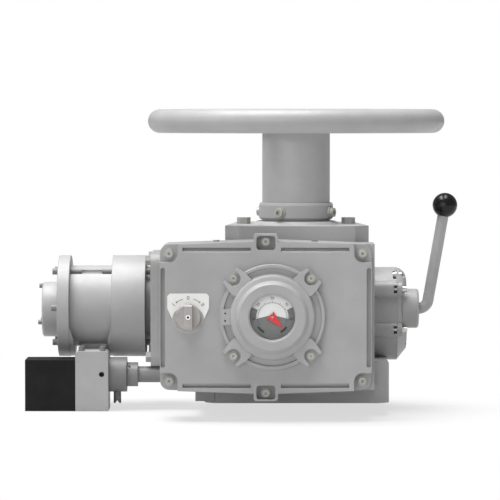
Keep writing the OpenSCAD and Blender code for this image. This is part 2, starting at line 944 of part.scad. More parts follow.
module bezel() {
    color([0.63, 0.63, 0.63])
    translate([dial_x, -cover_face, axis_z])
        rotate([90, 0, 0])
            difference() {
                union() {
                    // turned body: flange rim, groove, step and face
                    rotate_extrude()
                        polygon([
                            [window_r + 8, 0], [bezel_r, 0], [bezel_r, 8], [bezel_r - 1.5, 9.5],
                            [bezel_r - 7, 9.5], [bezel_r - 8, 5], [bezel_step_r + 3, 5],
                            [bezel_step_r, 8], [bezel_step_r - 1, 17], [bezel_step_r - 4, 19],
                            [bezel_face_r + 4, 21], [bezel_face_r, bezel_h - 3],
                            [bezel_face_r - 3, bezel_h], [window_r + 3, bezel_h],
                            [window_r, bezel_h - 2], [window_r, bezel_h - 6],
                            [window_r + 8, bezel_h - 6]
                        ]);
                    for (a = [45:90:315])
                        rotate([0, 0, a])
                            linear_extrude(15)
                                polygon([
                                    [bezel_step_r - 3, -ear_half_in], [bezel_r - 6, -ear_half_in],
                                    [ear_out, -ear_half_out], [ear_out, ear_half_out],
                                    [bezel_r - 6, ear_half_in], [bezel_step_r - 3, ear_half_in]
                                ]);
                    // small bridge pad at the left
                    rotate([0, 0, 180])
                        translate([bezel_step_r - 4, -15.7, 0])
                            cube([20.5, 31.4, 13]);
                }
                for (a = [45:90:315])
                    rotate([0, 0, a])
                        translate([ear_r, 0, 0]) {
                            translate([0, 0, 6])
                                union() {
                                    cylinder(r = 13.5, h = 20);
                                    translate([0, -13.5, 0])
                                        cube([20, 27, 20]);
                                }
                            translate([0, 0, -1])
                                cylinder(r = 3 + seat_gap, h = 20);
                        }
                for (z = [-7.3, 7.3])
                    translate([-91.5, z, 8])
                        cylinder(r = 1.8, h = 6);
            }
}

module bezel_screws() {
    color([0.7, 0.69, 0.66])
    translate([dial_x, -cover_face, axis_z])
        rotate([90, 0, 0])
            for (a = [45:90:315])
                rotate([0, 0, a])
                    translate([ear_r, 0, 6])
                        union() {
                            translate([0, 0, 2])
                                cap_screw(6.3, 5.5, 3, 8, 2.6);
                            cylinder(r = 9, h = 2);
                        }
}

module dial_glass() {
    color([0.9, 0.95, 0.95])
    ycyl(window_r + 8 - seat_gap, -cover_face - bezel_h + 6, -cover_face - bezel_h + 6 + glass_t, dial_x, axis_z);
}

module dial_face() {
    color([0.95, 0.95, 0.95])
    difference() {
        ycyl(window_r + 8 - seat_gap, dial_y, -cover_face, dial_x, axis_z);
        ycyl(pointer_shaft_r + run_gap, dial_y - 1, -cover_face + 1, dial_x, axis_z);
    }
}

pointer_shaft_r = 3;

// Kite with a broad tail; its tip points along +X of the drawing
module pointer_outline() {
    polygon([
        [pointer_len, 0], [2, 7.5], [-7, 9], [-3, 0], [-7, -9], [2, -7.5]
    ]);
}

module pointer() {
    color([0.85, 0.15, 0.15])
    translate([dial_x, pointer_y, axis_z])
        rotate([90, 0, 0])
            rotate([0, 0, 90 - pointer_rest])
                difference() {
                    linear_extrude(1.5)
                        union() {
                            pointer_outline();
                            circle(6);
                        }
                    translate([0, 0, -1])
                        cylinder(r = pointer_shaft_r - 1 + TINY, h = 4);
                }
}

module pointer_shaft() {
    color([0.7, 0.7, 0.7])
    union() {
        ycyl(pointer_shaft_r, pointer_y, block_front + 18, dial_x, axis_z);
        ycyl(pointer_shaft_r - 1, pointer_y - 2, pointer_y + 1, dial_x, axis_z);
    }
}

block_front = -case_front - 60;
gear_block_x = 38;
gear_block_z0 = axis_z - 28;
gear_block_z1 = axis_z + 34;
gear_block_back = counter_y + 6.6;

module dial_gear_block() {
    color([0.45, 0.46, 0.48])
    difference() {
        union() {
            box([dial_x - gear_block_x, block_front, gear_block_z0],
                [dial_x + gear_block_x, gear_block_back, gear_block_z1]);
            // flange on the back wall of the housing
            box([window_x0 - 12, -case_front - 18, window_z0 - 12],
                [window_x1 + 12, -case_front - 10, window_z1 + 12]);
        }
        ycyl(pointer_shaft_r + run_gap, block_front - 1, block_front + 20, dial_x, axis_z);
        zcyl(5 + run_gap, gear_block_z0 - 1, gear_block_z0 + 20, counter_x, counter_y);
    }
}

/* Gears of the dial drive */

function inv(a) = tan(a) * 180 / PI - a;
function half_tooth(z, play, rb, r, rp) =
    90 / z - play / rp * 90 / PI + inv(20) - inv(acos(min(1, rb / r)));

// Involute spur gear, one tooth on +X
module spur(m, z, play) {
    rp = m * z / 2;
    rb = rp * cos(20);
    ra = rp + 0.9 * m;
    rf = rp - 1.2 * m;
    rs = max(rb + TINY, rf);
    radii = [rf, rs, (rs + rp) / 2, rp, (rp + ra) / 2, ra];
    polygon([
        for (i = [0:z - 1])
            for (s = [-1, 1])
                for (k = [0:5])
                    let (
                        j = s < 0 ? k : 5 - k,
                        r = radii[j],
                        a = i * 360 / z + s * half_tooth(z, play, rb, max(r, rs), rp)
                    )
                    [r * cos(a), r * sin(a)]
    ]);
}

module counter_pinion() {
    color([0.7, 0.7, 0.7])
    translate([counter_x, counter_y, 0])
        union() {
            translate([0, 0, takeoff_z0 + 1])
                linear_extrude(takeoff_h - 2)
                    rotate([0, 0, counter_angle + 180 + 180 / counter_teeth])
                        spur(take_m, counter_teeth, 0.5);
            translate([0, 0, takeoff_z0 - 4])
                cylinder(r = 5, h = gear_block_z0 + 22 - takeoff_z0);
        }
}

/* Selector */

module selector_plate() {
    hw = sel_plate_w / 2;
    color([0.92, 0.92, 0.92])
    difference() {
        union() {
            front_slab(-cover_face - 1.5, -cover_face)
                translate([-selector_left, axis_z])
                    polygon([
                        [-hw, 17], [-hw, 40.4], [-hw + 5, 45.4], [hw - 5, 45.4], [hw, 40.4],
                        [hw, 17], [28, -12], [-28, -12]
                    ]);
            ycyl(31.5, -cover_face - 1.5, -cover_face, -selector_left, axis_z);
        }
        ycyl(knob_shaft_r + 0.5, -cover_face - 2, -cover_face + 1, -selector_left, axis_z);
    }
}

module selector_knob() {
    color([0.72, 0.71, 0.68])
    translate([-selector_left, -cover_face - 1.5 - face_gap, axis_z])
        rotate([90, 0, 0])
            difference() {
                union() {
                    rotate_extrude()
                        polygon([
                            [0, 0], [knob_r, 0], [knob_r, 6], [knob_r - 2, 8.5], [0, 8.5]
                        ]);
                    intersection() {
                        cylinder(r = knob_r - 0.8, h = knob_h);
                        translate([-grip_w / 2, -knob_r, 0])
                            cube([grip_w, 2 * knob_r, knob_h]);
                    }
                    translate([0, 0, -cover_t - 24])
                        cylinder(r = knob_shaft_r, h = cover_t + 24 + TINY);
                }
                translate([0, 0, knob_h - 5])
                    cylinder(r = 2.4, h = 6);
            }
}

module selector_switch() {
    color([0.2, 0.2, 0.22])
    difference() {
        box([-selector_left - 22, -cover_back, axis_z - 26], [-selector_left + 22, -cover_back + 47, axis_z + 26]);
        ycyl(knob_shaft_r + run_gap, -cover_back - 1, -cover_back + 30, -selector_left, axis_z);
    }
}

module terminal_block() {
    color([0.75, 0.72, 0.6])
    difference() {
        box([20, -case_front - 52, 74], [128, -case_front - 10, 120]);
        for (i = [0:8], z = [86, 108])
            ycyl(3.5, -case_front - 53, -case_front - 40, 30 + i * 11, z);
    }
}

/* Motor */

module motor_adapter() {
    color([0.62, 0.62, 0.62])
    difference() {
        union() {
            side_slab(adapter_x, tube_x)
                translate([worm_y, adapter_z])
                    round_rect(2 * adapter_half, 2 * adapter_half, 24);
            xcyl(70, neck_x, adapter_x + 1, worm_y, axis_z);
        }
        xcyl(tube_bore_r, neck_x - 1, tube_x + 1, worm_y, axis_z);
        xcyl(rod_r + 3, adapter_x - 1, tube_x + 1, 0, rod_z);
        at_adapter_bolts()
            xcyl(8 + seat_gap, adapter_x - 1, tube_x + 1);
    }
}

module at_adapter_bolts() {
    // the lower ones sit higher, clear of the stop collar
    for (y = [-1, 1], z = [22 - adapter_half, adapter_half - 14])
        translate([0, worm_y + y * (adapter_half - 15), adapter_z + z])
            children();
}

module adapter_bolts() {
    color([0.6, 0.59, 0.56])
    at_adapter_bolts()
        union() {
            translate([adapter_x, 0, 0])
                rotate([0, -90, 0])
                    rotate([0, 0, 30])
                        hex_screw(10, 10, 8, 2 * adapter_t + 14);
            // nut behind the plates
            translate([tube_x + adapter_t, 0, 0])
                rotate([0, 90, 0])
                    cylinder(r = 11.5, h = 10, $fn = 6);
        }
}

// Bolts with long ends at the top; the others end in the flanges
long_bolts = [60, 120];
flange_bolts_at = [0, 180, 240, 300];
ring_bolts_at = [240, 300];

module at_motor_bolts(angles) {
    for (a = angles)
        translate([0, worm_y - motor_bolt_pcr * cos(a), axis_z + motor_bolt_pcr * sin(a)])
            children();
}

module drive_end_ring() {
    color([0.64, 0.64, 0.64])
    difference() {
        translate([ring_x, worm_y, axis_z])
            rotate([0, 90, 0])
                rotate_extrude()
                    polygon([
                        [motor_bearing_r + seat_gap, 0], [motor_flange_r - 1, 0],
                        [motor_flange_r, 1], [motor_flange_r, ring_len - 1],
                        [motor_flange_r - 1, ring_len], [tube_bore_r, ring_len],
                        [tube_bore_r, 26], [motor_bearing_r + seat_gap, 26]
                    ]);
        at_motor_bolts(concat(long_bolts, ring_bolts_at))
            xcyl(motor_bolt_r + seat_gap, ring_x - 1, neck_x + 1);
    }
}

motor_bearing_r = 26;

module motor_body() {
    color([0.64, 0.64, 0.64])
    difference() {
        union() {
            xcyl(motor_body_r, body_x, ring_x, worm_y, axis_z);
            // shoulders beside the block, as far out as the flanges
            intersection() {
                xcyl(motor_flange_r - 1, body_x, ring_x, worm_y, axis_z);
                front_slab(-case_front, case_front + worm_y)
                    translate([body_x + motor_len / 2, axis_z])
                        for (s = [0, 1])
                            mirror([s, 0])
                                translate([motor_len / 2, 0])
                                    polygon([[0, -39], [0, -110], [-shoulder_w, -110], [-shoulder_w, -66]]);
            }
            // saddle and foot that carry the air block
            box([block_x0 + 6, 62, foot_top - 1], [block_x1 - 6, worm_y, axis_z - motor_body_r * 0.74]);
            front_slab(-block_half, worm_y + 15)
                translate([-block_left, foot_z0])
                    intersection() {
                        round_rect(block_w, 2 * foot_t, block_edge);
                        translate([-block_w / 2, 0])
                            square([block_w, foot_t]);
                    }
        }
        xcyl(stator_r + seat_gap, body_x - 1, ring_x + 1, worm_y, axis_z);
        at_motor_bolts(long_bolts)
            xcyl(motor_bolt_r + 3, body_x - 1, ring_x + 1);
        at_block_screws()
            zcyl(block_screw_r + seat_gap, foot_z0 - 1, foot_top + 20);
    }
}

block_screw_r = 4;

module at_block_screws() {
    for (s = [-1, 1], y = [-block_half + 15, block_half - 30])
        translate([-block_left + s * 21.5, y, 0])
            children();
}

module motor_end_flange() {
    color([0.64, 0.64, 0.64])
    difference() {
        translate([flange_x, worm_y, axis_z])
            rotate([0, 90, 0])
                rotate_extrude()
                    polygon([
                        [motor_bearing_r + seat_gap, 0], [motor_flange_r - 1, 0],
                        [motor_flange_r, 1], [motor_flange_r, end_flange_t - 1],
                        [motor_flange_r - 1, end_flange_t], [motor_bearing_r + seat_gap, end_flange_t]
                    ]);
        at_motor_bolts(concat(long_bolts, flange_bolts_at))
            xcyl(motor_bolt_r + seat_gap, flange_x - 1, body_x + 1);
    }
}

bolt_tail_left = 24;
bolt_tail_right = 21;

// Bolt of the end flange, its end standing out of the flange by tail
module flange_bolt(tail) {
    translate([flange_x, 0, 0])
        rotate([0, -90, 0])
            cap_screw(6.5, 11.7, motor_bolt_r, end_flange_t + tail, 3.5);
}

// Bolt of the drive end ring
module ring_bolt(tail) {
    translate([neck_x, 0, 0])
        rotate([0, 90, 0])
            cap_screw(6.5, 9, motor_bolt_r, ring_len + tail, 3.5);
}

// All screws of the motor: flange, ring, end cover and air block
module motor_bolts() {
    color([0.6, 0.59, 0.56])
    union() {
        at_motor_bolts(long_bolts)
            union() {
                flange_bolt(bolt_tail_left);
                ring_bolt(bolt_tail_right);
            }
        at_motor_bolts(flange_bolts_at)
            flange_bolt(-1);
        at_motor_bolts(ring_bolts_at)
            ring_bolt(-1);
        at_end_screws()
            translate([end_x, 0, 0])
                rotate([0, -90, 0])
                    cap_screw(4.8, 7.6, end_screw_r, end_cover_t, 2.4);
        at_block_screws()
            translate([0, 0, foot_top])
                cap_screw(6, 9, block_screw_r, foot_t + 10, 3);
    }
}

module motor_end_cover() {
    color([0.64, 0.64, 0.64])
    difference() {
        translate([end_x, worm_y, axis_z - end_cover_drop])
            rotate([0, 90, 0])
                rotate_extrude()
                    polygon([
                        [0, 0], [end_cover_r - 3, 0], [end_cover_r, 3],
                        [end_cover_r, end_cover_t], [0, end_cover_t]
                    ]);
        xcyl(32, flange_x - 14, flange_x + 1, worm_y, axis_z);
        at_end_screws()
            xcyl(end_screw_r + seat_gap, end_x - 1, flange_x + 1);
    }
}

end_screw_r = 2.5;

module at_end_screws() {
    for (a = [90, 210, 330])
        translate([0, worm_y + 48.4 * cos(a), axis_z - end_cover_drop + 48.4 * sin(a)])
            children();
}

module stator() {
    color([0.5, 0.3, 0.2])
    difference() {
        xcyl(stator_r, body_x + 8, ring_x - 8, worm_y, axis_z);
        xcyl(rotor_r + 0.6, body_x, ring_x, worm_y, axis_z);
    }
}

coupling_x0 = tube_x + 20;
coupling_x1 = tube_x + 80;

module rotor_shaft() {
    color([0.55, 0.55, 0.57])
    union() {
        xcyl(rotor_r, body_x + 12, ring_x - 12, worm_y, axis_z);
        xcyl(motor_shaft_r, flange_x + 4, coupling_x0 + 30, worm_y, axis_z);
    }
}

module shaft_coupling() {
    color([0.45, 0.45, 0.47])
    difference() {
        xcyl(32, coupling_x0, coupling_x1, worm_y, axis_z);
        xcyl(motor_shaft_r + TINY, coupling_x0 - 1, coupling_x0 + 30, worm_y, axis_z);
        xcyl(shaft_r + TINY, coupling_x0 + 30, coupling_x1 + 1, worm_y, axis_z);
    }
}

/* Worm pair */

thread_half = 3.3;
flank = tan(20);
steps_per_turn = 32;

// Corner k of the thread's section at turn angle t
function thread_point(t, k) =
    let (
        deep = k == 0 || k == 3,
        r = deep ? worm_root - 0.6 : worm_tip,
        half = thread_half + (deep ? worm_m + 0.6 : -0.9 * worm_m) * flank,
        s = k < 2 ? -1 : 1,
        x = worm_lead * t / 360 + s * half
    )
    [x, -r * cos(t), -r * sin(t)];

module worm_thread(turns) {
    n = round(turns * steps_per_turn / 2);
    pts = [
        for (i = [-n:n])
            for (k = [0:3])
                thread_point(i * 360 / steps_per_turn, k)
    ];
    count = 2 * n + 1;
    sides = [
        for (i = [0:count - 2])
            for (k = [0:3])
                let (a = 4 * i + k, b = 4 * i + (k + 1) % 4, c = b + 4, d = a + 4)
                each [[a, b, c], [a, c, d]]
    ];
    last = 4 * (count - 1);
    polyhedron(
        points = pts,
        faces = concat(
            sides,
            [[0, 2, 1], [0, 3, 2], [last, last + 1, last + 2], [last, last + 2, last + 3]]
        )
    );
}

module worm_shaft() {
    color([0.55, 0.55, 0.57])
    translate([0, worm_y, axis_z])
        union() {
            worm_thread(worm_len / worm_lead);
            xcyl(worm_root, -worm_len / 2 - 8, worm_len / 2 + 8);
            xcyl(shaft_r, coupling_x0 + 30, case_half_w - 3);
        }
}

// Worm and motor bearings, as rings
module shaft_bearings() {
    color([0.75, 0.75, 0.77])
    union() {
        for (s = [-1, 1])
            ring_x_between(worm_bore_r - seat_gap, shaft_r + run_gap,
                s * (worm_bearing_x + worm_bearing_w / 2) - worm_bearing_w / 2, worm_bearing_w);
        ring_x_between(motor_bearing_r, motor_shaft_r + run_gap, flange_x + 5, 20);
        ring_x_between(motor_bearing_r, motor_shaft_r + run_gap, ring_x + 4, 20);
    }
}

module ring_x_between(ro, ri, x0, w) {
    difference() {
        xcyl(ro, x0, x0 + w, worm_y, axis_z);
        xcyl(ri, x0 - 1, x0 + w + 1, worm_y, axis_z);
    }
}

gap_half = worm_lead / 4 + 0.25;

module worm_wheel() {
    color([0.75, 0.6, 0.3])
    difference() {
        zcyl(wheel_tip, wheel_z0, wheel_z1);
        zcyl(sleeve_r + run_gap, wheel_z0 - 1, wheel_z1 + 1);
        for (i = [0:wheel_teeth - 1])
            rotate([0, 0, i * 360 / wheel_teeth])
                translate([0, wheel_r, axis_z])
                    rotate([0, -worm_tilt, 0])
                        translate([0, 0, -wheel_w])
                            linear_extrude(2 * wheel_w)
                                polygon([
                                    [-gap_half + 1.1 * worm_m * flank, wheel_root - wheel_r],
                                    [gap_half - 1.1 * worm_m * flank, wheel_root - wheel_r],
                                    [gap_half + 2 * worm_m * flank, 2 * worm_m],
                                    [-gap_half - 2 * worm_m * flank, 2 * worm_m]
                                ]);
    }
}

module clutch_lining() {
    color([0.3, 0.25, 0.2])
    difference() {
        zcyl(wheel_root - 1, wheel_z1, wheel_z1 + lining_t);
        zcyl(sleeve_r + 2, wheel_z1 - 1, wheel_z1 + lining_t + 1);
    }
}

/* Drive sleeve */

module drive_sleeve() {
    color([0.6, 0.6, 0.62])
    difference() {
        union() {
            zcyl(sleeve_r, spigot_d + 1, sleeve_top);
            zcyl(drum_r, drum_z0, drum_z0 + drum_h);
            translate([0, 0, takeoff_z0])
                linear_extrude(takeoff_h)
                    spur(take_m, take_teeth, 0.5);
            // shoulder under the worm wheel
            zcyl(sleeve_r + 8, takeoff_z0, wheel_z0 - face_gap);
            // feather keys that carry the clutch ring
            for (a = [0:90:270])
                rotate([0, 0, a])
                    box([sleeve_r - 5, -key_w / 2, wheel_z1 + lining_t + 1],
                        [key_r, key_w / 2, column_z0 - dog_h - 1]);
        }
        zcyl(nut_r + seat_gap, -1, sleeve_top + 1);
    }
}

module stem_nut() {
    color([0.75, 0.6, 0.3])
    difference() {
        zcyl(nut_r, spigot_d + 1, axis_z - 40);
        zcyl(stem_r, 0, axis_z);
    }
}

// Rings that carry the sleeve, the column and the seal
module sleeve_bearings() {
    color([0.75, 0.75, 0.77])
    union() {
        difference() {
            zcyl(bearing_r, spigot_d + 5, spigot_d + 5 + bearing_h);
            zcyl(sleeve_r + run_gap, 0, floor_t);
        }
        difference() {
            zcyl(bearing_r + 15, column_bearing_z0, column_bearing_z0 + column_bearing_h);
            zcyl(column_r + run_gap, case_top, plate_top);
        }
        difference() {
            zcyl(seal_r, plate_top - 10, plate_top + ring_h - 1);
            zcyl(column_r + run_gap, case_top, plate_top + 20);
        }
    }
}

/* Clutch */

module dogs(z0, z1, r0, r1, phase, width) {
    intersection() {
        difference() {
            zcyl(r1, z0, z1);
            zcyl(r0, z0 - 1, z1 + 1);
        }
        for (a = [0:60:300])
            rotate([0, 0, a + phase])
                box([r0 - 10, -width / 2, z0], [r1 + 1, width / 2, z1]);
    }
}

module clutch_ring() {
    color([0.5, 0.5, 0.52])
    difference() {
        union() {
            zcyl(clutch_r, ring_z0, ring_z0 + clutch_h);
            dogs(ring_z0 + clutch_h - 1, ring_z0 + clutch_h + dog_h, dog_r, clutch_r, 0, 30);
        }
        zcyl(sleeve_r + run_gap, ring_z0 - 1, column_z0);
        for (a = [0:90:270])
            rotate([0, 0, a])
                box([0, -key_w / 2 - face_gap, ring_z0 - 1], [key_r + face_gap, key_w / 2 + face_gap, column_z0]);
        difference() {
            zcyl(clutch_r + 1, groove_z - groove_w / 2, groove_z + groove_w / 2);
            zcyl(clutch_r - 8, ring_z0, column_z0);
        }
    }
}

module shift_fork() {
    fork_t = groove_w - 1;
    z0 = groove_z - fork_t / 2;
    slot_half = crank_pin_r + 0.5;
    color([0.45, 0.45, 0.5])
    difference() {
        union() {
            // half ring in the groove
            intersection() {
                difference() {
                    zcyl(clutch_r + 8, z0, z0 + fork_t);
                    zcyl(clutch_r - 8 + 0.8, z0 - 1, z0 + fork_t + 1);
                }
                box([14, -100, z0], [100, 100, z0 + fork_t]);
            }
            // web to the guide and the slotted bar
            box([clutch_r + 1, -36, z0], [bar_x1, 30, z0 + fork_t]);
            box([clutch_r + 1, 0, z0], [guide_x, guide_y, z0 + fork_t]);
            box([bar_x0, -36, axis_z - 10], [bar_x1, 4, z0 + fork_t]);
            zcyl(guide_r + 5.5, z0 - 9, z0 + fork_t + 9, guide_x, guide_y);
        }
        zcyl(guide_r + 0.05, axis_z, case_top, guide_x, guide_y);
        box([bar_x0 - 1, -crank_r - slot_half - 1, axis_z + crank_r * sin(crank_angle) - slot_half],
            [bar_x1 + 1, -crank_r * cos(crank_angle) + slot_half + 1, axis_z + crank_r * sin(crank_angle) + slot_half]);
    }
}

bar_x1 = crank_x - 3;
bar_x0 = bar_x1 - 11;

module guide_rod() {
    color([0.7, 0.7, 0.72])
    zcyl(guide_r, floor_t - 9, case_top + 5, guide_x, guide_y);
}

module lever_shaft() {
    color([0.6, 0.6, 0.62])
    union() {
        xcyl(lever_shaft_r, crank_x, hub_x0 + hub_len * 0.5, 0, axis_z);
        xcyl(26, crank_x, crank_x + crank_disc_t, 0, axis_z);
        xcyl(crank_pin_r, bar_x0 - 1, crank_x + 1,
            -crank_r * cos(crank_angle), axis_z + crank_r * sin(crank_angle));
    }
}

// Bronze bushes of the lever shaft and of the brake rod
module plain_bushes() {
    color([0.75, 0.6, 0.3])
    difference() {
        xcyl(bush_r, -base_w / 2 - pad_out, -152, 0, rod_z);
        xcyl(rod_r + run_gap, -base_w, -140, 0, rod_z);
    }
    color([0.75, 0.6, 0.3])
    difference() {
        union() {
            xcyl(lever_bush_r, chamber_r + 1, case_half_w + 6, 0, axis_z);
            xcyl(lever_bush_r, side_x1, hub_x0 - face_gap, 0, axis_z);
        }
        xcyl(lever_shaft_r + run_gap, chamber_r, side_x3, 0, axis_z);
    }
}

module lever_hub() {
    color([0.62, 0.62, 0.62])
    difference() {
        translate([hub_x0, 0, axis_z])
            rotate([0, 90, 0])
                rotate_extrude()
                    intersection() {
                        round_rect(2 * hub_r, 2 * hub_len, 5);
                        square([hub_r, hub_len]);
                    }
        xcyl(lever_shaft_r + TINY, hub_x0 - 1, hub_x0 + hub_len * 0.5, 0, axis_z);
        xcyl(lever_r + TINY, hub_x0 + hub_len * 0.5 + 4, hub_x1 + 1, 0, axis_z);
    }
}

lever_x = hub_x1;
rod_step = 0.05;

module lever_rod() {
    color([0.62, 0.62, 0.62])
    translate([lever_x, 0, axis_z])
        union() {
            xcyl(lever_r - rod_step, -11, 1);
            // bend in the plane of the lever
            translate([0, 0, lever_bend])
                rotate([90, 0, 0])
                    rotate([0, 0, -90])
                        rotate_extrude(angle = 90 - lever_lean)
                            translate([lever_bend, 0])
                                circle(lever_r);
            translate([lever_bend * cos(lever_lean), 0, lever_bend - lever_bend * sin(lever_lean)])
                rotate([0, lever_lean, 0])
                    translate([0, 0, -1])
                        cylinder(r = lever_r - rod_step, h = lever_len + 1);
        }
}

module lever_ball() {
    color([0.12, 0.12, 0.12])
    translate([lever_x + lever_bend * cos(lever_lean), 0, axis_z + lever_bend - lever_bend * sin(lever_lean)])
        rotate([0, lever_lean, 0])
            difference() {
                translate([0, 0, lever_len + ball_d / 2 - 9])
                    sphere(d = ball_d);
                translate([0, 0, lever_len - 20])
                    cylinder(r = lever_r + TINY, h = 20);
            }
}

/* Handwheel */

module column() {
    color([0.6, 0.6, 0.6])
    difference() {
        union() {
            zcyl(column_r, column_z0 + 10, column_top);
            zcyl(clutch_r, column_z0, column_z0 + 10);
            dogs(column_z0 - dog_h - 1, column_z0 + 1, dog_r, clutch_r, 30, 30);
        }
        zcyl(column_bore_r, column_z0 - 1, sleeve_top + 4);
        zcyl(column_inner_r, sleeve_top + 3, column_top + 1);
    }
}

module at_collar_screws() {
    for (i = [0:collar_screws_n - 1])
        rotate([0, 0, -90 - collar_phase + i * 360 / collar_screws_n])
            children();
}

module collar() {
    color([0.62, 0.62, 0.62])
    difference() {
        translate([0, 0, collar_z0])
            rotate_extrude()
                polygon([
                    [column_r + TINY, 0], [collar_r - 4, 0], [collar_r, 4],
                    [collar_r, collar_h - 5], [collar_r - 2, collar_h], [column_r + TINY, collar_h]
                ]);
        at_collar_screws()
            union() {
                xcyl(screw_collar_r + seat_gap, column_r - 5, collar_r + 2, 0, collar_z0 + 15);
                // flat seat of the washer
                xcyl(12, collar_r - 0.7, collar_r + 2, 0, collar_z0 + 15);
            }
    }
}

screw_collar_r = 4;

module collar_screws() {
    color([0.7, 0.69, 0.66])
    at_collar_screws()
        translate([collar_r - 0.7, 0, collar_z0 + 15])
            rotate([0, 90, 0])
                union() {
                    cylinder(r = 11.5, h = 3.5);
                    translate([0, 0, 3.5])
                        cap_screw(9, 7.5, screw_collar_r, collar_r - column_r + 2.7, 4.6);
                }
}

module handwheel_hub() {
    color([0.62, 0.62, 0.62])
    difference() {
        union() {
            zcyl(hub_wheel_r, column_top, column_top + 40);
            zcyl(column_inner_r - seat_gap, column_top - 14, column_top + 1);
        }
        zcyl(20, column_top - 15, column_top + 34);
        for (i = [0:spokes_n - 1])
            rotate([0, 0, 45 + i * 360 / spokes_n])
                xcyl(spoke_r + TINY, hub_wheel_r - 12, hub_wheel_r + 2, 0, rim_z);
    }
}

hub_wheel_r = 76;

module handwheel_spokes() {
    rim_mid = wheel_d / 2 - rim_d / 2;
    color([0.62, 0.62, 0.62])
    difference() {
        for (i = [0:spokes_n - 1])
            rotate([0, 0, 45 + i * 360 / spokes_n])
                xcyl(spoke_r, hub_wheel_r - 12 + TINY, rim_mid - 4, 0, rim_z);
        translate([0, 0, rim_z])
            rotate_extrude()
                translate([rim_mid, 0])
                    circle(rim_d / 2);
    }
}

module handwheel_rim() {
    color([0.62, 0.62, 0.62])
    translate([0, 0, rim_z])
        rotate_extrude()
            translate([wheel_d / 2 - rim_d / 2, 0])
                circle(rim_d / 2);
}

/* Air brake */

module air_block() {
    color([0.62, 0.62, 0.62])
    difference() {
        box([block_x0, -block_half, -block_under], [block_x1, block_half, foot_z0]);
        xcyl(piston_r + 0.02, piston_x0 - 3, block_x1 + 1, 0, rod_z);
        ycyl(port_r, -block_half - 1, -piston_r + 6, block_x1 - 13.5, rod_z + 3);
        at_block_screws()
            zcyl(block_screw_r + seat_gap, foot_z0 - 11, foot_z0 + 1);
    }
}

module valve_box() {
    color([0.1, 0.1, 0.1])
    box([block_x0 - box_w, -block_half, -block_under], [block_x0, block_half, box_h - block_under]);
}

module rod_gland() {
    color([0.55, 0.55, 0.55])
    difference() {
        union() {
            xcyl(gland_r, block_x1, gland_x1, 0, rod_z);
            // vent stub with a notched mouth
            difference() {
                zcyl(7.7, rod_z - gland_r - 23, rod_z - gland_r + 3, block_x1 + 16.5, 0);
                front_slab(-10, 10)
                    polygon([
                        [block_x1 + 16.5, rod_z - gland_r - 17], [block_x1 + 11.5, rod_z - gland_r - 24],
                        [block_x1 + 21.5, rod_z - gland_r - 24]
                    ]);
            }
        }
        xcyl(rod_r + run_gap, block_x1 - 1, gland_x1 + 1, 0, rod_z);
    }
}

module brake_rod() {
    color([0.6, 0.6, 0.6])
    union() {
        xcyl(rod_r, piston_x0 + 2, rod_end, 0, rod_z);
        xcyl(piston_r, piston_x0, piston_x0 + piston_t, 0, rod_z);
    }
}

// Collar on the rod with its radial set screw, angled up from the front
module stop_collar() {
    color([0.6, 0.6, 0.6])
    difference() {
        xcyl(stop_r, stop_x0, stop_x1, 0, rod_z);
        xcyl(rod_r + TINY, stop_x0 - 1, stop_x1 + 1, 0, rod_z);
        translate([stop_x0 + 5, 0, rod_z])
            rotate([46, 0, 0])
                zcyl(4, rod_r - 2, stop_r + 2);
    }
    color([0.7, 0.69, 0.66])
    translate([stop_x0 + 5, 0, rod_z])
        rotate([46, 0, 0])
            difference() {
                zcyl(4 - TINY, rod_r + 0.1, stop_r - 1);
                zcyl(2, stop_r - 4, stop_r);
            }
}

module brake_shoe() {
    color([0.4, 0.35, 0.3])
    difference() {
        box([shoe_back, -shoe_half, rod_z - shoe_h / 2], [-90, shoe_half, rod_z + shoe_h / 2]);
        zcyl(drum_r + face_gap, 0, 100, -rod_stroke, 0);
        xcyl(rod_r + TINY, shoe_back - 1, rod_end, 0, rod_z);
    }
}

gear_case();
top_plate();
plate_screws();
side_housing();
side_cover();
side_bolts();
control_housing();
housing_plugs();
cover_gasket();
front_cover();
cover_screws();
bezel();
bezel_screws();
dial_glass();
dial_face();
pointer();
pointer_shaft();
dial_gear_block();
counter_pinion();
selector_plate();
selector_knob();
selector_switch();
terminal_block();
motor_adapter();
adapter_bolts();
drive_end_ring();
motor_body();
motor_end_flange();
motor_bolts();
motor_end_cover();
stator();
rotor_shaft();
shaft_coupling();
worm_shaft();
shaft_bearings();
worm_wheel();
clutch_lining();
drive_sleeve();
stem_nut();
sleeve_bearings();
clutch_ring();
shift_fork();
guide_rod();
lever_shaft();
plain_bushes();
lever_hub();
lever_rod();
lever_ball();
column();
collar();
collar_screws();
handwheel_hub();
handwheel_spokes();
handwheel_rim();
air_block();
valve_box();
rod_gland();
brake_rod();
stop_collar();
brake_shoe();
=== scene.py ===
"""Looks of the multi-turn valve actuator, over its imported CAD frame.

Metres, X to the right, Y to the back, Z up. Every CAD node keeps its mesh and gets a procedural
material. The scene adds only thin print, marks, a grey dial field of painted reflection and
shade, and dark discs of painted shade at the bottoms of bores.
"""
import math

import bmesh
import bpy
from mathutils import Matrix, Vector


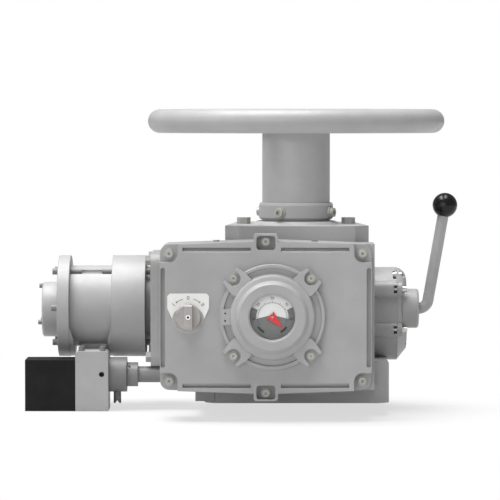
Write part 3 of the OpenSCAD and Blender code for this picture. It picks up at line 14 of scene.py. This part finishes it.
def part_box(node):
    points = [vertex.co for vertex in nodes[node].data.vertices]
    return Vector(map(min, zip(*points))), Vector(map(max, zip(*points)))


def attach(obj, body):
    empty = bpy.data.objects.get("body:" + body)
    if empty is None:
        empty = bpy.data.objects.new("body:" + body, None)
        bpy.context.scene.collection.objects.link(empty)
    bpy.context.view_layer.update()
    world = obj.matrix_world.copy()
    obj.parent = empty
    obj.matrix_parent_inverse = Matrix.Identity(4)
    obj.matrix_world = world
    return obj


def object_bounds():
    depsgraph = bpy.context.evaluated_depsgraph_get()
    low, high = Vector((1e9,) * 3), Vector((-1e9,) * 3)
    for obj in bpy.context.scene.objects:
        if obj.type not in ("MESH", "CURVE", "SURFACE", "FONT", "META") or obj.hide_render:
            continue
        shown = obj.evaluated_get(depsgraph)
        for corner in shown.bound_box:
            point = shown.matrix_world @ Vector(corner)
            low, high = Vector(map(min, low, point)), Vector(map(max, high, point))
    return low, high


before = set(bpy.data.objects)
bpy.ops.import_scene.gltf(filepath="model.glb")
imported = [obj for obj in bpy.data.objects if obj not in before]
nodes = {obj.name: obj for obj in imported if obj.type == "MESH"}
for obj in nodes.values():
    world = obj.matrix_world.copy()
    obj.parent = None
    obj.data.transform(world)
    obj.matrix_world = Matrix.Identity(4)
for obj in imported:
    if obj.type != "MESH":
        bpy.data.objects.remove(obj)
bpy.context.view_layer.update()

ROOT = "housing"

# Camera: level with the handwheel rim, 6.5 m in front of the stem axis
CAM = Vector((-0.0934, -6.5, 0.560))
AIM = Vector((-0.0934, 0.0, 0.2985))
SENSOR = 36.0
VIEW_WIDTH = 1.015  # seen at the aim point

cam_data = bpy.data.cameras.new("camera")
cam = bpy.data.objects.new("camera", cam_data)
bpy.context.collection.objects.link(cam)
cam.location = CAM
cam.rotation_mode = "QUATERNION"
cam.rotation_quaternion = (AIM - CAM).to_track_quat("-Z", "Y")
cam_data.sensor_width = SENSOR
cam_data.lens = SENSOR * (AIM - CAM).length / VIEW_WIDTH
cam_data.clip_start = 0.1
cam_data.clip_end = 100.0
bpy.context.scene.camera = cam
bpy.context.scene.view_settings.view_transform = "Standard"


# Node trees

WHITE = (1, 1, 1, 1)


def lin(c):
    """sRGB 0..255 to linear."""
    c = c / 255.0
    return c / 12.92 if c <= 0.04045 else ((c + 0.055) / 1.055) ** 2.4


def rgb(r, g, b):
    return (lin(r), lin(g), lin(b), 1.0)


class Tree:
    """Short way to build a node tree."""

    def __init__(self, node_tree):
        self.nodes = node_tree.nodes
        self.links = node_tree.links

    def add(self, kind, **values):
        """New node; a value is an input's constant, or with _ in front a property."""
        n = self.nodes.new(kind)
        for k, v in values.items():
            if k.startswith("_"):
                setattr(n, k[1:], v)
            else:
                n.inputs[k].default_value = v
        return n

    def join(self, a, b):
        self.links.new(a, b)

    def math(self, operation, a, b):
        n = self.add("ShaderNodeMath", _operation=operation)
        self.join(a, n.inputs[0])
        self.join(b, n.inputs[1])
        return n.outputs[0]


def material(name):
    mat = bpy.data.materials.new(name)
    mat.use_nodes = True
    t = Tree(mat.node_tree)
    t.mat = mat
    t.bsdf = t.nodes["Principled BSDF"]
    t.out = t.nodes["Material Output"]
    return t


def noise(t, scale, detail=3.0, rough=0.55, stretch=None):
    n = t.add("ShaderNodeTexNoise", Scale=scale, Detail=detail, Roughness=rough)
    vec = t.add("ShaderNodeTexCoord").outputs["Object"]
    if stretch:
        m = t.add("ShaderNodeMapping", Scale=stretch)
        t.join(vec, m.inputs["Vector"])
        vec = m.outputs["Vector"]
    t.join(vec, n.inputs["Vector"])
    return n.outputs["Fac"]


# Most of a noise's values lie between these two
NOISE_LOW, NOISE_HIGH = 0.3, 0.7


def mottle(t, fac, low, high):
    """Colour between two tones, by a noise."""
    r = t.add("ShaderNodeValToRGB")
    stops = ((NOISE_LOW, low), (NOISE_HIGH, high))
    for el, (spot, colour) in zip(r.color_ramp.elements, stops):
        el.position = spot
        el.color = colour
    t.join(fac, r.inputs["Fac"])
    return r.outputs["Color"]


def span(t, fac, low, high, a, b):
    """Maps low..high to a..b."""
    m = t.add("ShaderNodeMapRange")
    m.inputs["From Min"].default_value = low
    m.inputs["From Max"].default_value = high
    m.inputs["To Min"].default_value = a
    m.inputs["To Max"].default_value = b
    t.join(fac, m.inputs["Value"])
    return m.outputs["Result"]


def roughness(t, fac, a, b):
    t.join(span(t, fac, NOISE_LOW, NOISE_HIGH, a, b), t.bsdf.inputs["Roughness"])


def bump(t, height, strength, distance, normal):
    b = t.add("ShaderNodeBump", Strength=strength, Distance=distance)
    t.join(height, b.inputs["Height"])
    t.join(normal, b.inputs["Normal"])
    return b.outputs["Normal"]


def soft_edges(t, radius):
    return t.add("ShaderNodeBevel", _samples=4, Radius=radius).outputs["Normal"]


# Materials

FINE = 0.0002  # depth of fine relief
CAST, MOULDED, SHARP = 0.0016, 0.0008, 0.0006  # edge radii


def paint(name, level, blue=0, rough=0.42, edge=CAST, peel=0.12):
    """Sprayed enamel on a casting: slight cloudiness, orange peel and soft edges."""
    t = material(name)
    cloud = noise(t, scale=9.0, detail=4.0, rough=0.6)
    low = rgb(level - 6, level - 6, level + blue - 6)
    high = rgb(level + 5, level + 5, level + blue + 5)
    t.join(mottle(t, cloud, low, high), t.bsdf.inputs["Base Color"])
    roughness(t, noise(t, scale=60.0), rough - 0.06, rough + 0.08)
    t.bsdf.inputs["Specular IOR Level"].default_value = 0.4
    n = soft_edges(t, edge)
    n = bump(t, noise(t, scale=140.0, detail=2.0), strength=0.10, distance=4 * FINE, normal=n)
    n = bump(t, noise(t, scale=900.0, detail=2.0), strength=peel, distance=FINE, normal=n)
    t.join(n, t.bsdf.inputs["Normal"])
    return t.mat


def steel(name, r, g, b, rough=0.34, stretch=(1, 1, 1), metal=0.9):
    """Turned or plated steel with fine lines."""
    t = material(name)
    line = noise(t, scale=900.0, detail=2.0, rough=0.5, stretch=stretch)
    blotch = noise(t, scale=45.0)
    low, high = rgb(r - 12, g - 12, b - 13), rgb(r + 8, g + 8, b + 7)
    t.join(mottle(t, blotch, low, high), t.bsdf.inputs["Base Color"])
    t.bsdf.inputs["Metallic"].default_value = metal
    roughness(t, line, rough - 0.06, rough + 0.1)
    n = bump(t, line, strength=0.12, distance=FINE, normal=soft_edges(t, SHARP))
    t.join(n, t.bsdf.inputs["Normal"])
    return t.mat


def plastic(name, r, g, b, rough=0.5, grain=0.15, scale=1400.0, gloss=0.5):
    """Moulded plastic, rubber or print with a fine grain."""
    t = material(name)
    t.bsdf.inputs["Specular IOR Level"].default_value = gloss
    cloud = noise(t, scale=30.0)
    low, high = rgb(r - 3, g - 3, b - 3), rgb(r + 3, g + 3, b + 3)
    t.join(mottle(t, cloud, low, high), t.bsdf.inputs["Base Color"])
    roughness(t, noise(t, scale=220.0), rough - 0.05, rough + 0.06)
    height = noise(t, scale, detail=2.0)
    n = bump(t, height, strength=grain, distance=FINE, normal=soft_edges(t, MOULDED))
    t.join(n, t.bsdf.inputs["Normal"])
    return t.mat


def glass(name):
    """Thin clear glass; its low index keeps the dial behind it in place."""
    t = material(name)
    t.bsdf.inputs["Base Color"].default_value = WHITE
    t.bsdf.inputs["Transmission Weight"].default_value = 1.0
    t.bsdf.inputs["IOR"].default_value = 1.12
    roughness(t, noise(t, scale=80.0), 0.01, 0.03)
    return t.mat


MATERIALS = {
    "casting": paint("casting_grey", 160),
    "cover": paint("cover_grey", 156, rough=0.40),
    "bezel": paint("bezel_grey", 160, rough=0.38),
    "motor": paint("motor_grey", 161, rough=0.40),
    "wheel": paint("wheel_grey", 160, rough=0.40, peel=0.08),
    "bolt": paint("bolt_grey", 150, blue=-3, rough=0.45, edge=SHARP, peel=0.05),
    "motor_bolt": paint("motor_bolt_grey", 122, blue=-2, rough=0.45, edge=SHARP, peel=0.05),
    # Gland, brake rod and stop collar: darker grey than the casting, as painted shade for the
    # shade under the motor
    "gland": paint("gland_painted_shade", 115, rough=0.45),
    "rod": paint("rod_painted_shade", 124, rough=0.40, edge=MOULDED, peel=0.04),
    "screw": steel("screw_steel", 174, 173, 168, rough=0.42, metal=0.35),
    "bright": steel("bright_steel", 214, 212, 208, rough=0.3, metal=0.8),
    "shaft": steel("shaft_steel", 176, 176, 178, rough=0.3, stretch=(1, 14, 14)),
    "machined": steel("machined_steel", 160, 160, 164, rough=0.36),
    "bronze": steel("bronze", 190, 150, 88),
    "winding": plastic("winding", 150, 88, 50, rough=0.4, grain=0.3, scale=500.0),
    "box": plastic("box_black", 29, 29, 29, rough=0.6, grain=0.12, gloss=0.12),
    "ball": plastic("ball_black", 22, 22, 23, rough=0.24, grain=0.02, gloss=0.3),
    "switch": plastic("switch_grey", 60, 60, 62),
    "terminal": plastic("terminal_plastic", 190, 182, 160),
    "rubber": plastic("rubber_black", 30, 30, 30, rough=0.7, grain=0.25, scale=800.0),
    "lining": plastic("lining", 92, 76, 60, rough=0.85, grain=0.5, scale=700.0),
    "plate": plastic("plate_white", 222, 222, 220, rough=0.38, grain=0.06),
    "card": plastic("dial_card", 236, 237, 236, grain=0.03),
    "card_painted_reflection": plastic("dial_card_painted_reflection", 116, 118, 117, grain=0.03),
    "ink": plastic("print_black", 34, 34, 36, grain=0.02),
    "ink_grey": plastic("print_grey", 104, 104, 102, grain=0.02),
    "red": plastic("pointer_red", 206, 40, 40, rough=0.35, grain=0.03),
    "knob": steel("knob_steel", 163, 160, 158, rough=0.42, metal=0.2),
    "mark": plastic("mark_white", 240, 240, 238, rough=0.4, grain=0.03),
    "glass": glass("window_glass"),
    # painted shade, for the bottoms of bores
    "dark": plastic("bore_painted_shade", 24, 24, 24, rough=0.8, grain=0.05),
}

LOOK = {
    "casting": "gear_case top_plate side_housing side_cover control_housing housing_plugs "
               "motor_adapter air_block lever_hub",
    "gland": "rod_gland",
    "bolt": "plate_screws adapter_bolts",
    "motor_bolt": "motor_bolts",
    "cover": "front_cover",
    "bezel": "bezel",
    "motor": "drive_end_ring motor_body motor_end_flange motor_end_cover",
    "wheel": "column collar handwheel_hub handwheel_spokes handwheel_rim lever_rod",
    "screw": "cover_screws bezel_screws collar_screws",
    "bright": "side_bolts",
    "shaft": "pointer_shaft rotor_shaft shaft_coupling worm_shaft lever_shaft",
    "rod": "brake_rod stop_collar",
    "machined": "counter_pinion shaft_bearings drive_sleeve sleeve_bearings clutch_ring "
                "shift_fork guide_rod dial_gear_block",
    "bronze": "worm_wheel stem_nut plain_bushes",
    "winding": "stator",
    "box": "valve_box",
    "ball": "lever_ball",
    "switch": "selector_switch",
    "terminal": "terminal_block",
    "rubber": "cover_gasket",
    "lining": "clutch_lining brake_shoe",
    "plate": "selector_plate",
    "card": "dial_face",
    "red": "pointer",
    "knob": "selector_knob",
    "glass": "dial_glass",
}


def dress(obj, mat):
    if not obj.data.materials:
        obj.data.materials.append(mat)
    for s in obj.material_slots:
        s.material = mat


for look, names in LOOK.items():
    for name in names.split():
        dress(nodes[name], MATERIALS[look])


# Helpers for the small pieces. Outlines are (x, z) points about a centre, angles are degrees
# clockwise from the top, seen from the front.

def polar(r, angle):
    a = math.radians(angle)
    return (r * math.sin(a), r * math.cos(a))


def rim(r, a0, a1, n):
    """Points on a circle from a0 to a1, both ends included."""
    return [polar(r, a0 + (a1 - a0) * i / n) for i in range(n + 1)]


def arc(r0, r1, a0, a1, n):
    """Ring sector."""
    return rim(r1, a0, a1, n) + rim(r0, a0, a1, n)[::-1]


def disc(r, n):
    return rim(r, 0, 360, n)[:-1]


LETTER_HALF = 0.00015  # half the letters' thickness


def place(mesh, mat, body):
    """Object of a new mesh, with its material, body and slot."""
    mesh.materials.append(MATERIALS[mat])
    o = bpy.data.objects.new(mesh.name, mesh)
    bpy.context.collection.objects.link(o)
    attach(o, body)


def prism(name, outline, at, front_y, back_y, mat, body):
    """Outline about at, from its front plane to its back plane."""
    bm = bmesh.new()
    front = [bm.verts.new((at[0] + x, front_y, at[1] + z)) for x, z in outline]
    back = [bm.verts.new((at[0] + x, back_y, at[1] + z)) for x, z in outline]
    bm.faces.new(front)
    bm.faces.new(list(reversed(back)))
    n = len(outline)
    for i in range(n):
        j = (i + 1) % n
        bm.faces.new([front[i], back[i], back[j], front[j]])
    bmesh.ops.recalc_face_normals(bm, faces=bm.faces)
    mesh = bpy.data.meshes.new(name)
    bm.to_mesh(mesh)
    bm.free()
    place(mesh, mat, body)


def text(name, words, size, at, r, angle, y, turn, mat):
    """Letters at (r, angle) from at, their middle in plane y, turned clockwise by turn."""
    curve = bpy.data.curves.new(name, "FONT")
    curve.body = words
    curve.size = size
    curve.align_x = "CENTER"
    curve.align_y = "CENTER"
    curve.extrude = LETTER_HALF
    tmp = bpy.data.objects.new(name + "_t", curve)
    bpy.context.collection.objects.link(tmp)
    bpy.context.view_layer.update()
    made = tmp.evaluated_get(bpy.context.evaluated_depsgraph_get())
    mesh = bpy.data.meshes.new_from_object(made)
    bpy.data.objects.remove(tmp)
    x, z = polar(r, angle)
    mesh.transform(Matrix.Translation((at[0] + x, y, at[1] + z))
                   @ Matrix.Rotation(math.radians(turn), 4, "Y")
                   @ Matrix.Rotation(math.radians(90), 4, "X"))
    mesh.name = name
    mesh.materials.clear()
    place(mesh, mat, ROOT)


def middle(name):
    """Middle of a node's box, seen from the front."""
    low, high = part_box(name)
    return ((low.x + high.x) / 2, (low.z + high.z) / 2)


SIDES = ((-1, "l"), (1, "r"))
DIAL = middle("dial_face")
SELECTOR = (middle("selector_plate")[0], DIAL[1])

# Dial card: white fan above, grey field below that is painted reflection and shade (the
# window's darker lower half), ticks on a line, numbers and two end bars
REFLECTION_R = 0.0440
FAN_HALF = 98  # the white fan ends here
FAN_TIP = 0.004  # height of its tip over the centre
SIDE_FROM = 64  # outside the ticks the painted reflection and shade begins here
SWEEP = 120  # ticks to both sides of the top
TICKS, MAJOR_EVERY = 41, 5
TICK_IN, TICK_OUT, MAJOR_OUT = 0.0278, 0.0302, 0.0312
TICK_HALF, MAJOR_HALF = 0.42, 0.7
LINE_IN, LINE_OUT = 0.0274, 0.0279
END_IN, END_OUT = 0.0313, 0.0356
END_AT, END_HALF = 138, 13.5
NUMBER_R, NUMBER_SIZE, NUMBER_STEP = 0.0365, 0.0072, 48
UPRIGHT_FROM = 60  # numbers further round stand upright
REFLECTION_T, INK_T = 0.0003, 0.0002  # layer of the painted reflection field, and print layer
SINK = 0.00005  # of the painted reflection field's back in the card
LIFT = 0.0001  # of the letters over the ink
face_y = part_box("dial_face")[0].y
reflection_y = face_y - REFLECTION_T
ink_y = reflection_y - INK_T


# Grey field on the card: painted reflection and shade, not print
def dial_reflection_field(name, outline):
    prism(name, outline, DIAL, reflection_y, face_y + SINK, "card_painted_reflection", ROOT)


def dial_ink(name, outline, mat):
    prism(name, outline, DIAL, ink_y, face_y, mat, ROOT)


dial_reflection_field("dial_reflection_field", rim(REFLECTION_R, FAN_HALF, 360 - FAN_HALF, 40) + [(0.0, FAN_TIP)])
for s, side in SIDES:
    a0, a1 = sorted((s * SIDE_FROM, s * FAN_HALF))
    dial_reflection_field(f"dial_side_reflection_{side}", arc(MAJOR_OUT, REFLECTION_R, a0, a1, 12))
for i in range(TICKS):
    a = -SWEEP + 2 * SWEEP * i / (TICKS - 1)
    r1, half = (TICK_OUT, TICK_HALF) if i % MAJOR_EVERY else (MAJOR_OUT, MAJOR_HALF)
    dial_ink(f"dial_tick_{i:02d}", arc(TICK_IN, r1, a - half, a + half, 1), "ink")
dial_ink("dial_line", arc(LINE_IN, LINE_OUT, -SWEEP - 1, SWEEP + 1, 60), "ink_grey")
for s, side in SIDES:
    a0, a1 = s * END_AT - END_HALF, s * END_AT + END_HALF
    dial_ink(f"dial_end_{side}", arc(END_IN, END_OUT, a0, a1, 8), "ink")
for i in range(5):
    a = (i - 2) * NUMBER_STEP
    label = str(25 * i)
    text(f"dial_number_{label}", label, NUMBER_SIZE, DIAL, NUMBER_R, a, ink_y + LIFT,
         a if abs(a) < UPRIGHT_FROM else 0, "ink")

# Selector plate: grey field under the knob, growing from the knob's edge to the plate's round
# end, and generic position marks with arrows on an arc over the knob
TIP_R, FULL_R = 0.0262, 0.0312
FIELD_HALF = 120  # from the bottom to the field's tips
GROWTH = 35  # from a tip to the full radius
MARK_R, MARK_AT, MARK_SIZE = 0.0365, 50, 0.011
ARC_IN, ARC_OUT = 0.0355, 0.0366
ARC_FROM, ARC_TO = 16, 38
ARROW_R, ARROW_HALF = 0.0361, 0.0025
ARROW_BASE, ARROW_TIP = 37.0, 41.5
plate_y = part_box("selector_plate")[0].y
mark_y = plate_y - INK_T


def plate_print(name, outline, mat):
    prism(name, outline, SELECTOR, mark_y, plate_y + LIFT, mat, ROOT)


field = []
for a in range(180 - FIELD_HALF, 180 + FIELD_HALF + 1, 4):
    grown = min(1.0, (FIELD_HALF - abs(a - 180)) / GROWTH)
    field.append(polar(TIP_R + (FULL_R - TIP_R) * grown, a))
plate_print("selector_field", field, "knob")
for a, label in ((-MARK_AT, "I"), (0, "0"), (MARK_AT, "II")):
    text(f"selector_mark_{label}", label, MARK_SIZE, SELECTOR, MARK_R, a, mark_y + LIFT, a,
         "ink_grey")
for s, side in SIDES:
    a0, a1 = sorted((s * ARC_FROM, s * ARC_TO))
    plate_print(f"selector_arc_{side}", arc(ARC_IN, ARC_OUT, a0, a1, 10), "ink_grey")
    arrow = [polar(ARROW_R, s * ARROW_TIP),
             polar(ARROW_R + ARROW_HALF, s * ARROW_BASE),
             polar(ARROW_R - ARROW_HALF, s * ARROW_BASE)]
    plate_print(f"selector_tip_{side}", arrow, "ink_grey")

# White index on the knob's grip, and a light ring; the dark disc down its bore is painted shade
INDEX_HALF, INDEX_LOW, INDEX_TOP = 0.0075, 0.0212, 0.0235
RING_IN, RING_OUT = 0.0024, 0.0048
BORE_R, BORE_FROM, BORE_TO = 0.0023, 0.0038, 0.0045
grip_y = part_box("selector_knob")[0].y


def on_knob(name, outline, front, back, mat):
    """Piece that turns with the knob; front and back count from the grip's face."""
    prism(name, outline, SELECTOR, grip_y + front, grip_y + back, mat, "selector")


index = [(-INDEX_HALF, INDEX_LOW), (INDEX_HALF, INDEX_LOW),
         (INDEX_HALF, INDEX_TOP), (-INDEX_HALF, INDEX_TOP)]
on_knob("knob_index", index, -0.0003, 0.0003, "mark")
on_knob("knob_ring", arc(RING_IN, RING_OUT, 0, 360, 40), -0.0004, 0.0003, "mark")
on_knob("knob_bore_shade", disc(BORE_R, 32), BORE_FROM, BORE_TO, "dark")

# Dark discs at the bottoms of the two small bores in the pad at the bezel's left, as painted
# shade
PAD_DX, PAD_DZ = 0.0915, 0.0073  # from the dial's centre
PAD_BORE_R, PAD_BORE_FROM, PAD_BORE_TO = 0.00175, -0.2942, -0.2936
for s, row in ((-1, "b"), (1, "a")):
    at = (DIAL[0] - PAD_DX, DIAL[1] + s * PAD_DZ)
    prism(f"pad_bore_shade_{row}", disc(PAD_BORE_R, 24), at, PAD_BORE_FROM, PAD_BORE_TO,
          "dark", ROOT)

# Stage: pale floor just under the lowest point. Away from the part it fades to white, but only
# where it is seen, so that it keeps the shadow and throws no extra light.
FLOOR_GAP = 0.0006
FLOOR_HALF = 9
FLOOR_GREY = 190
FADE_X = -0.09  # below the part's middle
FADE_FROM, FADE_TO = 0.4, 1.6  # distances from there
FADE_START = 0.66  # share of white up to the first distance
floor_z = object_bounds()[0].z - FLOOR_GAP
t = material("floor_pale")
sub = t.add("ShaderNodeVectorMath", _operation="SUBTRACT")
t.join(t.add("ShaderNodeNewGeometry").outputs["Position"], sub.inputs[0])
sub.inputs[1].default_value = (FADE_X, 0.0, floor_z)
length = t.add("ShaderNodeVectorMath", _operation="LENGTH")
t.join(sub.outputs[0], length.inputs[0])
far = span(t, length.outputs["Value"], FADE_FROM, FADE_TO, FADE_START, 1.0)
path = t.add("ShaderNodeLightPath").outputs
seen = t.math("MAXIMUM", path["Is Camera Ray"], path["Is Glossy Ray"])
seen = t.math("MAXIMUM", seen, path["Is Transmission Ray"])
t.bsdf.inputs["Base Color"].default_value = rgb(FLOOR_GREY, FLOOR_GREY, FLOOR_GREY)
t.bsdf.inputs["Roughness"].default_value = 0.9
t.bsdf.inputs["Specular IOR Level"].default_value = 0.0
glow = t.add("ShaderNodeEmission", Color=WHITE, Strength=1.0)
mix = t.add("ShaderNodeMixShader")
t.join(t.math("MULTIPLY", far, seen), mix.inputs["Fac"])
t.join(t.bsdf.outputs["BSDF"], mix.inputs[1])
t.join(glow.outputs["Emission"], mix.inputs[2])
t.join(mix.outputs["Shader"], t.out.inputs["Surface"])
corners = [(x * FLOOR_HALF, y * FLOOR_HALF, floor_z)
           for x, y in ((-1, -1), (1, -1), (1, 1), (-1, 1))]
floor_mesh = bpy.data.meshes.new("floor")
floor_mesh.from_pydata(corners, [], [(0, 1, 2, 3)])
floor_mesh.materials.append(t.mat)
floor = bpy.data.objects.new("floor", floor_mesh)
bpy.context.collection.objects.link(floor)

# World: soft grey light, white where it is seen
WORLD_LIGHT = 0.26
world = bpy.data.worlds.new("world")
bpy.context.scene.world = world
world.use_nodes = True
world.node_tree.nodes.clear()
t = Tree(world.node_tree)
out = t.add("ShaderNodeOutputWorld")
soft = t.add("ShaderNodeBackground", Color=WHITE, Strength=WORLD_LIGHT)
white = t.add("ShaderNodeBackground", Color=WHITE, Strength=1.0)
path = t.add("ShaderNodeLightPath").outputs
seen = t.math("MAXIMUM", path["Is Camera Ray"], path["Is Transmission Ray"])
mix = t.add("ShaderNodeMixShader")
t.join(seen, mix.inputs["Fac"])
t.join(soft.outputs[0], mix.inputs[1])
t.join(white.outputs[0], mix.inputs[2])
t.join(mix.outputs[0], out.inputs["Surface"])


SUN_ANGLE = 50


def sun(name, direction, strength):
    """Wide soft sun whose light comes from direction."""
    d = bpy.data.lights.new(name, "SUN")
    d.energy = strength
    d.angle = math.radians(SUN_ANGLE)
    o = bpy.data.objects.new(name, d)
    bpy.context.collection.objects.link(o)
    o.rotation_mode = "QUATERNION"
    o.rotation_quaternion = Vector(direction).to_track_quat("Z", "Y")


sun("key", (-0.20, -0.04, 0.98), 6.2)
sun("fill", (-0.42, -1.0, 0.06), 0.95)
